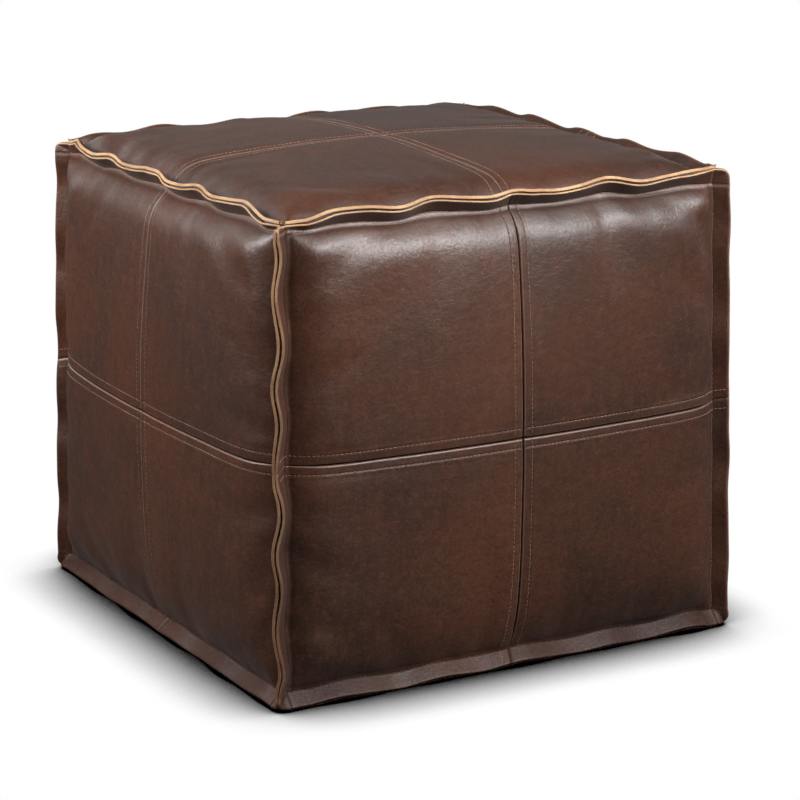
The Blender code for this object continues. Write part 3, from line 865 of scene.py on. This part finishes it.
def add_marks(mesh, panel, DU, DV, drop, at, rows):
    """Point values that the leather's material reads: where it is worn and where it has painted
    highlights, and where it is dark: painted shade in its grooves, creases and seam gaps, and darker
    base flanges.
    """
    face = panel.face
    wear = np.zeros_like(DU)
    dark = np.zeros_like(DU)
    raw = np.zeros_like(DU)
    for d, half, edge, height in (
        (DU, face.half_u, panel.edge_u, DV / face.half_v * panel.side_v),
        (DV, face.half_v, panel.edge_v, DU * 0),
    ):
        x = (half - d) / MM
        s = d / MM
        # painted highlight on the roll beside each seam; near the raw tip, wear and painted highlight
        wear = np.maximum(wear, bell(x, 2.2, 1.2) * edge.pick(ROLL_HIGHLIGHT))
        wear = np.maximum(wear, smooth(-x, 14.8, 16.4) * edge.pick(TIP_WEAR_AND_HIGHLIGHT))
        # painted shade in the groove beside the roll, in the crease at the seam line and along the
        # topstitch channel
        dark = np.maximum(dark, bell(x, 5.4, 1.5) * 0.55)
        dark = np.maximum(dark, bell(x, 0, 1.2))
        dark = np.maximum(dark, bell(s, TOPSTITCH, 0.7) * 0.22)
        # the base flanges are darker and duller
        if edge.is_base:
            dark = np.maximum(dark, 0.62 * smooth(-x, 0.5, 4.0))
        raw_lit_share = edge.pick(RAW_LIT_SHARES)
        # painted light from above: the front-left cut edge is paler towards its top
        if edge.faces == ("front", "left"):
            raw_lit_share = 0.48 + 0.26 * height  # paler towards the top
        raw = np.maximum(raw, raw_lit_share * smooth(-x, 10.0, 15.0))
    # painted highlight on the lip where the sheet starts to turn in at a cross seam
    wear = np.maximum(wear, bell(drop / MM, 0.35, 0.35) * (drop > 0.00002))
    # painted shade in the cross seams, where the sheet is turned in
    dark = np.maximum(dark, smooth(drop, 0.0008, 0.0022))
    warm = np.full_like(DU, WARMTH[face.name])
    for name, values in (("wear", wear), ("dark", dark), ("raw", raw), ("warm", warm)):
        attribute = mesh.attributes.new(name, "FLOAT", "POINT")
        attribute.data.foreach_set("value", spread_to_all(values, at, rows).astype(np.float32))


# ---- stitches


def along_path(points, normals, pitch, start, end):
    """(start, end, normal) of each stitch along a polyline."""
    steps = np.linalg.norm(np.diff(points, axis=0), axis=1)
    place = np.concatenate([[0], np.cumsum(steps)])
    length = place[-1] - start - end
    count = max(1, int(length / pitch))
    gap = length / count

    def read(values, s):
        return np.array([np.interp(s, place, values[:, c]) for c in range(3)])

    made = []
    for k in range(count):
        s0 = start + k * gap
        s1 = s0 + gap
        made.append((read(points, s0), read(points, s1), read(normals, (s0 + s1) / 2)))
    return made


def tube_faces(first, rings, sides):
    """Faces of a closed tube, whose rings of vertices follow each other from first on."""
    faces = []
    for ring in range(rings - 1):
        a = first + ring * sides
        b = a + sides
        for k in range(sides):
            j = (k + 1) % sides
            faces.append((a + k, a + j, b + j, b + k))
    faces.append(tuple(first + k for k in reversed(range(sides))))
    faces.append(tuple(first + (rings - 1) * sides + k for k in range(sides)))
    return faces


# A stitch's rings: (place along it, height over the leather and size, in thread radii)
HALF_STITCH = ((0.0, -0.9, 0.55), (0.10, 0.15, 0.9), (0.30, 0.75, 1.0))
STITCH_RINGS = (*HALF_STITCH, (0.5, 0.9, 1.0), *((1 - a, b, c) for a, b, c in reversed(HALF_STITCH)))
STITCH_SIDES = 6
TOPSTITCH_PITCH = 0.0040
LID_PITCH = 0.0029
SEAM_PITCH = 0.0042
STITCHED_TO = 0.0146  # how far out on the flanges the topstitching runs


def stitch_mesh(name, stitches, radius, share, material, replaced):
    """One object of many stitches. Each is a short tube that dips into the leather at its ends."""
    vertices, faces = [], []
    angles = [TURN * k / STITCH_SIDES for k in range(STITCH_SIDES)]
    for p0, p1, normal in stitches:
        run = p1 - p0
        middle_point = (p0 + p1) / 2
        length = np.linalg.norm(run)
        run = run / max(length, 1e-9)
        normal = normal - run * (normal @ run)
        normal = normal / max(np.linalg.norm(normal), 1e-9)
        sideways = np.cross(run, normal)
        faces += tube_faces(len(vertices), len(STITCH_RINGS), STITCH_SIDES)
        for place, lift, size in STITCH_RINGS:
            centre = middle_point + run * ((place - 0.5) * length * share) + normal * (lift * radius)
            for angle in angles:
                offset = normal * math.cos(angle) * 0.8 + sideways * math.sin(angle)
                vertices.append(centre + offset * radius * size)
    make_piece(name, vertices, faces, [material], replaced)


def stop_index(stops, value, first):
    return first + int(np.argmin(np.abs(stops - value)))


def topstitches(panel, grain, normals):
    k = len(FOLD_GRAIN)
    column = stop_index(panel.stops_u, TOPSTITCH * MM, k)
    row = stop_index(panel.stops_v, TOPSTITCH * MM, k)
    first = k - 1
    tip_u = stop_index(panel.stops_u, panel.face.half_u + STITCHED_TO, k)
    tip_v = stop_index(panel.stops_v, panel.face.half_v + STITCHED_TO, k)
    made = []
    for points, lines in (
        (grain[column, first : tip_v + 1], normals[column, first : tip_v + 1]),
        (grain[first : tip_u + 1, row], normals[first : tip_u + 1, row]),
    ):
        made += along_path(points, lines, TOPSTITCH_PITCH, 0.0008, 0.0)
    return made


def edge_stitches(panel, grain, normals, by_edge):
    """The heavier stitches at the foot of each flange, on this panel's side of it."""
    k = len(FOLD_GRAIN)
    pulled_over = panel.edge_v.is_top and panel.face.name != "top"
    foot = 0.0019  # from the seam line to the stitches
    foot_u = stop_index(panel.stops_u, panel.face.half_u + foot, k)
    foot_v = stop_index(panel.stops_v, panel.face.half_v + (-foot if pulled_over else foot), k)
    end_u = stop_index(panel.stops_u, panel.face.half_u, k)
    end_v = stop_index(panel.stops_v, panel.face.half_v, k)
    for edge, points, lines in (
        (panel.edge_u, grain[foot_u, 3:end_v + 1], normals[foot_u, 3:end_v + 1]),
        (panel.edge_v, grain[3:end_u + 1, foot_v], normals[3:end_u + 1, foot_v]),
    ):
        pitch = LID_PITCH if edge.is_top else SEAM_PITCH
        by_edge.setdefault(edge.faces, []).extend(along_path(points, lines, pitch, 0.0006, 0.0012))


# ---- materials


class Nodes:
    """A new material, and short names for building its node tree."""

    def __init__(self, name):
        self.material = bpy.data.materials.new(name)
        self.material.use_nodes = True
        self.tree = self.material.node_tree
        self.shader = self.tree.nodes["Principled BSDF"]

    def add(self, kind, **values):
        node = self.tree.nodes.new(kind)
        for name, value in values.items():
            setattr(node, name, value)
        return node

    def put(self, value, socket):
        if hasattr(value, "node"):
            self.tree.links.new(value, socket)
        else:
            socket.default_value = value

    def math(self, operation, a, b=0.0, c=0.0):
        node = self.add("ShaderNodeMath", operation=operation)
        for value, socket in zip((a, b, c), node.inputs):
            self.put(value, socket)
        return node.outputs[0]

    def mix(self, share, a, b, mode="MIX"):
        node = self.add("ShaderNodeMix", data_type="RGBA", blend_type=mode)
        self.put(share, node.inputs["Factor"])
        self.put(a, node.inputs[6])
        self.put(b, node.inputs[7])
        return node.outputs[2]

    def noise(self, vector, scale, detail=3.0, rough=0.5, distortion=0.0):
        node = self.add("ShaderNodeTexNoise")
        self.put(vector, node.inputs["Vector"])
        node.inputs["Scale"].default_value = scale
        node.inputs["Detail"].default_value = detail
        node.inputs["Roughness"].default_value = rough
        node.inputs["Distortion"].default_value = distortion
        return node.outputs["Fac"]

    def voronoi(self, vector, scale, feature="F1"):
        node = self.add("ShaderNodeTexVoronoi", feature=feature)
        self.put(vector, node.inputs["Vector"])
        node.inputs["Scale"].default_value = scale
        return node.outputs["Distance"]

    def wave(self, vector, scale, distortion=0.0, direction="X"):
        node = self.add("ShaderNodeTexWave", bands_direction=direction)
        self.put(vector, node.inputs["Vector"])
        node.inputs["Scale"].default_value = scale
        node.inputs["Distortion"].default_value = distortion
        return node.outputs["Fac"]

    def ramp(self, value, low, high, to_low=0.0, to_high=1.0):
        node = self.add("ShaderNodeMapRange", clamp=True)
        node.interpolation_type = "SMOOTHSTEP"
        for value_in, socket in zip((value, low, high, to_low, to_high), node.inputs):
            self.put(value_in, socket)
        return node.outputs[0]

    def mapped(self, vector, scale):
        node = self.add("ShaderNodeMapping")
        self.put(vector, node.inputs["Vector"])
        node.inputs["Scale"].default_value = scale
        return node.outputs[0]

    def attribute(self, name):
        return self.add("ShaderNodeAttribute", attribute_name=name).outputs["Fac"]

    def uv(self):
        return self.add("ShaderNodeUVMap", uv_map="hide").outputs[0]

    def place(self):
        return self.add("ShaderNodeTexCoord").outputs["Object"]

    def bump(self, height, strength, distance, normal=None):
        node = self.add("ShaderNodeBump")
        node.inputs["Strength"].default_value = strength
        node.inputs["Distance"].default_value = distance
        self.put(height, node.inputs["Height"])
        if normal is not None:
            self.put(normal, node.inputs["Normal"])
        return node.outputs[0]

    def finish(self, **values):
        for name, value in values.items():
            self.put(value, self.shader.inputs[name.replace("_", " ")])
        return self.material


def colour(r, g, b):
    return (r, g, b, 1.0)


def leather_material():
    n = Nodes("brown_leather")
    hide = n.uv()
    piece = n.add("ShaderNodeObjectInfo").outputs["Random"]
    cloud = n.noise(hide, 6.0, 4, 0.55, 0.5)
    patch = n.noise(hide, 16.0, 6, 0.62, 0.8)
    streak = n.noise(n.mapped(hide, (1.0, 0.30, 1.0)), 120.0, 5, 0.65, 0.3)
    brush = n.noise(n.mapped(hide, (0.18, 1.0, 1.0)), 210.0, 4, 0.6, 0.2)
    fleck = n.noise(hide, 360.0, 5, 0.75)
    speck = n.noise(hide, 130.0, 4, 0.7)
    deep = colour(0.052, 0.0180, 0.0095)
    base = n.mix(n.ramp(cloud, 0.33, 0.67), deep, colour(0.118, 0.041, 0.0195))
    for texture, low, high, at_low, at_high, tint in (
        (patch, 0.50, 0.72, 0.0, 0.50, colour(0.074, 0.036, 0.0175)),
        (patch, 0.30, 0.46, 0.42, 0.0, colour(0.128, 0.035, 0.018)),
        (streak, 0.36, 0.70, 0.0, 0.26, colour(0.150, 0.068, 0.041)),
        (brush, 0.50, 0.76, 0.0, 0.30, colour(0.045, 0.018, 0.011)),
        (fleck, 0.49, 0.64, 0.0, 0.55, colour(0.038, 0.0125, 0.0065)),
        (fleck, 0.35, 0.49, 0.40, 0.0, colour(0.200, 0.085, 0.044)),
        (speck, 0.50, 0.68, 0.0, 0.42, deep),
        (speck, 0.33, 0.48, 0.34, 0.0, colour(0.185, 0.066, 0.034)),
    ):
        base = n.mix(n.ramp(texture, low, high, at_low, at_high), base, tint)
    tone = n.math("MULTIPLY_ADD", piece, 0.17, 0.50)
    base = n.mix(1.0, base, tone_colour(n, tone), "MULTIPLY")
    base = n.mix(n.attribute("warm"), base, colour(1.05, 0.88, 0.70), "MULTIPLY")
    # worn places and painted highlights are paler
    wear = n.math("MULTIPLY", n.attribute("wear"), n.ramp(fleck, 0.25, 0.60, 0.45, 1.0))
    base = n.mix(n.math("MULTIPLY", wear, 0.60), base, colour(0.270, 0.160, 0.118))
    # painted shade: the dark value darkens the leather
    dark = n.attribute("dark")
    base = n.mix(n.math("MULTIPLY", dark, 0.62), base, colour(0.022, 0.0070, 0.0045))
    grain = n.voronoi(hide, 1150.0)
    crease = n.voronoi(n.mapped(hide, (1.0, 0.7, 1.0)), 430.0, "DISTANCE_TO_EDGE")
    height = n.math("ADD", n.math("MULTIPLY", grain, 0.5), n.ramp(crease, 0.0, 0.12))
    normal = n.bump(height, 0.20, 0.00014)
    normal = n.bump(patch, 0.30, 0.0016, normal)
    normal = n.bump(streak, 0.16, 0.0004, normal)
    normal = n.bump(fleck, 0.55, 0.0004, normal)
    normal = n.bump(speck, 0.50, 0.0009, normal)
    rough = n.ramp(cloud, 0.3, 0.7, 0.43, 0.36)
    rough = n.math("ADD", rough, n.ramp(fleck, 0.3, 0.7, -0.04, 0.07))
    rough = n.math("ADD", rough, n.math("MULTIPLY", dark, 0.15))
    n.finish(Base_Color=base, Roughness=rough, Normal=normal, IOR=1.5)
    shine = n.math("MULTIPLY_ADD", dark, -0.52, 0.60)  # the grooves are dull
    return n.finish(Specular_IOR_Level=shine, Sheen_Weight=0.04, Sheen_Roughness=0.5)


def tone_colour(n, tone):
    node = n.add("ShaderNodeCombineColor")
    for socket in node.inputs[:3]:
        n.put(tone, socket)
    return node.outputs[0]


def raw_edge_material():
    n = Nodes("raw_leather_edge")
    place = n.place()
    fibre = n.noise(place, 900.0, 4, 0.65)
    cloud = n.noise(place, 55.0, 3, 0.5)
    base = n.mix(n.ramp(cloud, 0.35, 0.65), colour(0.34, 0.180, 0.082), colour(0.49, 0.29, 0.145))
    base = n.mix(n.ramp(fibre, 0.50, 0.70, 0.0, 0.60), base, colour(0.24, 0.11, 0.050))
    # painted shade: where the raw value is low, the cut edge takes this dark colour
    base = n.mix(n.attribute("raw"), colour(0.085, 0.028, 0.0165), base)
    normal = n.bump(fibre, 0.5, 0.0002)
    return n.finish(Base_Color=base, Roughness=0.62, Normal=normal)


def flesh_material():
    n = Nodes("leather_flesh_side")
    place = n.place()
    nap = n.noise(place, 700.0, 5, 0.7)
    base = n.mix(n.ramp(nap, 0.35, 0.7), colour(0.16, 0.085, 0.042), colour(0.36, 0.21, 0.11))
    normal = n.bump(nap, 0.6, 0.0003)
    return n.finish(Base_Color=base, Roughness=0.9, Normal=normal, Sheen_Weight=0.2)


def thread_material(name, light, dark):
    n = Nodes(name)
    place = n.place()
    ply = n.wave(place, 900.0, 1.5, "DIAGONAL")
    soil = n.noise(place, 30.0, 3, 0.6)
    base = n.mix(n.ramp(soil, 0.35, 0.7), dark, light)
    base = n.mix(n.math("MULTIPLY", ply, 0.35), base, dark)
    normal = n.bump(ply, 0.5, 0.0001)
    return n.finish(Base_Color=base, Roughness=0.6, Normal=normal, Sheen_Weight=0.15)


def cloth_material(name, light, dark, threads):
    n = Nodes(name)
    place = n.place()
    warp = n.wave(place, threads, 0.4, "X")
    weft = n.wave(place, threads, 0.4, "Y")
    weave = n.math("MULTIPLY", warp, weft)
    cloud = n.noise(place, 20.0, 3, 0.5)
    base = n.mix(weave, dark, light)
    base = n.mix(n.ramp(cloud, 0.4, 0.7, 0.0, 0.3), base, dark)
    return n.finish(Base_Color=base, Roughness=0.92, Normal=n.bump(weave, 0.5, 0.0003), Sheen_Weight=0.2)


def fibre_material():
    n = Nodes("fibre_fill")
    place = n.place()
    tuft = n.noise(place, 60.0, 8, 0.7, 2.5)
    base = n.mix(n.ramp(tuft, 0.35, 0.65), colour(0.45, 0.42, 0.36), colour(0.80, 0.77, 0.70))
    return n.finish(Base_Color=base, Roughness=1.0, Normal=n.bump(tuft, 0.9, 0.004), Sheen_Weight=0.4)


def metal_material():
    n = Nodes("aged_brass")
    place = n.place()
    brush = n.noise(n.mapped(place, (1.0, 14.0, 14.0)), 600.0, 3, 0.6)
    tarnish = n.noise(place, 260.0, 4, 0.6)
    base = n.mix(n.ramp(tarnish, 0.4, 0.7), colour(0.50, 0.36, 0.17), colour(0.20, 0.13, 0.07))
    rough = n.ramp(brush, 0.3, 0.7, 0.28, 0.46)
    return n.finish(Base_Color=base, Roughness=rough, Normal=n.bump(brush, 0.15, 0.00005), Metallic=1.0)


def coil_material():
    n = Nodes("zip_coil")
    cloud = n.noise(n.place(), 300.0, 3, 0.6)
    base = n.mix(cloud, colour(0.060, 0.038, 0.026), colour(0.130, 0.088, 0.060))
    return n.finish(Base_Color=base, Roughness=n.ramp(cloud, 0.3, 0.7, 0.32, 0.5))


# ---- build the cover

LEATHER = leather_material()
RAW_EDGE = raw_edge_material()
FLESH = flesh_material()
TOP_THREAD = thread_material("topstitch_thread", colour(0.30, 0.165, 0.110), colour(0.15, 0.075, 0.050))
SEAM_THREAD = thread_material("seam_thread", colour(0.075, 0.040, 0.028), colour(0.030, 0.015, 0.010))
LID_THREAD = thread_material("lid_thread", colour(0.30, 0.215, 0.175), colour(0.13, 0.080, 0.060))

THREAD_RADIUS = 0.00030
LID_THREAD_RADIUS = 0.00036

TOP_STITCHES, EDGE_STITCHES = {}, {}
for face in FACE.values():
    for side_v in (1, -1):
        for side_u in (-1, 1):
            panel = Panel(face, side_u, side_v)
            grain = build_panel(panel, (LEATHER, RAW_EDGE, FLESH))
            normals = sheet_normals(grain, panel)
            key = face.name + "_topstitch"
            if face.name == "base":
                key += "_" + name_of(face.up * side_v)
            TOP_STITCHES.setdefault(key, []).extend(topstitches(panel, grain, normals))
            edge_stitches(panel, grain, normals, EDGE_STITCHES)

for node, stitches in TOP_STITCHES.items():
    stitch_mesh("thread_" + node, stitches, THREAD_RADIUS, 0.90, TOP_THREAD, [node])
for pair, stitches in EDGE_STITCHES.items():
    node = "edge_seam_" + "_".join(pair)
    radius, share, twine = (THREAD_RADIUS, 0.84, SEAM_THREAD)
    if pair[0] == "top":
        radius, share, twine = (LID_THREAD_RADIUS, 0.62, LID_THREAD)
    stitch_mesh("thread_" + node, stitches, radius, share, twine, [node])


# ---- carried-over frame nodes


def dress(node, material):
    obj = frame["nodes"][node]
    obj.data.materials.clear()
    obj.data.materials.append(material)


COIL_PITCH = 0.0016  # from one turn of the wire to the next
COIL_WIRE = 0.00026  # the radius of the wire
STEPS_A_TURN = 12
WIRE_SIDES = 6


def coil(node, material):
    """The zip's teeth: one wire wound along x inside the frame's plain coil."""
    low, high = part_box(node)
    centre = (low + high) / 2
    across = (high.y - low.y) / 2 - COIL_WIRE
    tall = (high.z - low.z) / 2 - COIL_WIRE
    length = high.x - low.x - 2 * COIL_WIRE
    steps = int(length / COIL_PITCH) * STEPS_A_TURN
    vertices = []
    for k in range(steps + 1):
        angle = TURN * k / STEPS_A_TURN
        out = Vector((0, math.cos(angle), math.sin(angle)))
        start = low.x + COIL_WIRE
        place = Vector((start + length * k / steps, centre.y + out.y * across, centre.z + out.z * tall))
        for side in range(WIRE_SIDES):
            turn = TURN * side / WIRE_SIDES
            ring = Vector((math.cos(turn), out.y * math.sin(turn), out.z * math.sin(turn)))
            vertices.append(place + ring * COIL_WIRE)
    faces = tube_faces(0, steps + 1, WIRE_SIDES)
    make_piece("wound_" + node, vertices, faces, [material], [node])


BRASS, COIL = metal_material(), coil_material()
TAPE = cloth_material("zip_tape", colour(0.055, 0.034, 0.024), colour(0.018, 0.011, 0.008), 1200.0)
COTTON = cloth_material("cotton_liner", colour(0.66, 0.61, 0.52), colour(0.42, 0.38, 0.31), 500.0)
for node in ("zip_slider", "zip_pull", "zip_stop_left", "zip_stop_right"):
    dress(node, BRASS)
for node in ("zip_coil_front", "zip_coil_back"):
    coil(node, COIL)
for node in ("zip_tape_front", "zip_tape_back"):
    dress(node, TAPE)
dress("inner_liner", COTTON)
dress("fill_core", fibre_material())


# ---- floor, light and camera


FLOOR_HALF = 12.0
FLOOR_BOUNCE = 0.04  # the light that the floor throws back on the pouf
SKY_FILL = 0.025  # the even light that comes from all sides
SHADE_REACH = 0.085  # how far from the pouf its soft contact shadow spreads
SHADE_FROM, SHADE_TO = 0.46, 0.92  # the open share of the sky that looks black, and white
SHADE_SAMPLES = 16


def floor():
    """A floor that looks white but for the pouf's painted contact shadow, and throws little light back.
    """
    r = FLOOR_HALF
    obj = mesh_object("floor", [(-r, -r, 0), (r, -r, 0), (r, r, 0), (-r, r, 0)], [(0, 1, 2, 3)])
    material = bpy.data.materials.new("studio_floor")
    material.use_nodes = True
    new, link = material.node_tree.nodes.new, material.node_tree.links.new
    material.node_tree.nodes.clear()
    output = new("ShaderNodeOutputMaterial")
    seen = new("ShaderNodeLightPath").outputs["Is Camera Ray"]
    # painted contact shadow: for the camera the floor glows, dimmed where ambient occlusion finds the
    # pouf near
    sky = new("ShaderNodeAmbientOcclusion")
    sky.samples = SHADE_SAMPLES
    sky.inputs["Distance"].default_value = SHADE_REACH
    shade = new("ShaderNodeMapRange")
    link(sky.outputs["AO"], shade.inputs[0])
    shade.inputs[1].default_value = SHADE_FROM
    shade.inputs[2].default_value = SHADE_TO
    pale = new("ShaderNodeEmission")
    link(shade.outputs[0], pale.inputs["Strength"])
    grey = new("ShaderNodeBsdfDiffuse")
    grey.inputs["Color"].default_value = colour(FLOOR_BOUNCE, FLOOR_BOUNCE, FLOOR_BOUNCE)
    mix = new("ShaderNodeMixShader")
    link(seen, mix.inputs[0])
    link(grey.outputs[0], mix.inputs[1])
    link(pale.outputs[0], mix.inputs[2])
    link(mix.outputs[0], output.inputs[0])
    obj.data.materials.append(material)


def world():
    """White where the camera sees it, and a weak fill light otherwise."""
    made = bpy.data.worlds.new("studio")
    bpy.context.scene.world = made
    made.use_nodes = True
    tree = made.node_tree
    background = tree.nodes["Background"]
    seen = tree.nodes.new("ShaderNodeLightPath").outputs["Is Camera Ray"]
    strength = tree.nodes.new("ShaderNodeMapRange")
    tree.links.new(seen, strength.inputs[0])
    strength.inputs[3].default_value = SKY_FILL
    strength.inputs[4].default_value = 1.0
    tree.links.new(strength.outputs[0], background.inputs["Strength"])
    background.inputs["Color"].default_value = (1, 1, 1, 1)


def aim(obj, target, azimuth, elevation, distance):
    """Place obj where it looks at target. In degrees: azimuth 0 is the front, 90 the right."""
    a, e = math.radians(azimuth), math.radians(elevation)
    back = Vector((math.sin(a) * math.cos(e), -math.cos(a) * math.cos(e), math.sin(e)))
    obj.location = target + back * distance
    obj.rotation_mode = "QUATERNION"
    obj.rotation_quaternion = (-back).to_track_quat("-Z", "Y")
    bpy.context.scene.collection.objects.link(obj)


def softbox(name, azimuth, elevation, distance, width, height, power):
    """A soft light that looks at the pouf."""
    light = bpy.data.lights.new(name, "AREA")
    light.shape = "RECTANGLE"
    light.size, light.size_y = width, height
    light.energy = power
    obj = bpy.data.objects.new(name, light)
    aim(obj, Vector((0, 0, (CAD_LOW.z + CAD_HIGH.z) / 2)), azimuth, elevation, distance)
    obj.visible_camera = False


CAMERA_PLACE = (-29.72, 14.68, 2.694)  # azimuth, elevation and distance
AIM_RIGHT, AIM_DOWN = 0.0183, 0.0241  # from the middle of the seams' box
SENSOR, LENS = 36, 129.6  # in millimetres


def camera():
    data = bpy.data.cameras.new("camera")
    data.sensor_width = SENSOR
    data.lens = LENS
    obj = bpy.data.objects.new("camera", data)
    aim(obj, Vector((AIM_RIGHT, 0.0, (TOP_Z + BASE_Z) / 2 - AIM_DOWN)), *CAMERA_PLACE)
    bpy.context.scene.camera = obj


# name, azimuth, elevation, distance, width, height, power
LIGHTS = (
    ("front_key", 12, 50, 0.95, 0.8, 0.5, 3.5),
    ("front_sheen", 19, 33, 1.5, 0.9, 0.4, 26),
    ("left_key", -100, 48, 0.95, 0.6, 0.5, 2),
    ("left_sheen", -94, 33, 1.2, 0.5, 0.4, 13),
    ("left_fill", -120, 24, 1.6, 0.5, 0.4, 3.5),
    ("right_rim", 112, 5, 1.6, 1.2, 0.3, 6),
    ("right_fill", 84, 16, 1.8, 0.9, 0.6, 5),
    ("back_fill", -172, 14, 1.8, 0.9, 0.6, 3.2),
)

floor()
world()
for light in LIGHTS:
    softbox(*light)
camera()
bpy.context.scene.view_settings.view_transform = "Standard"
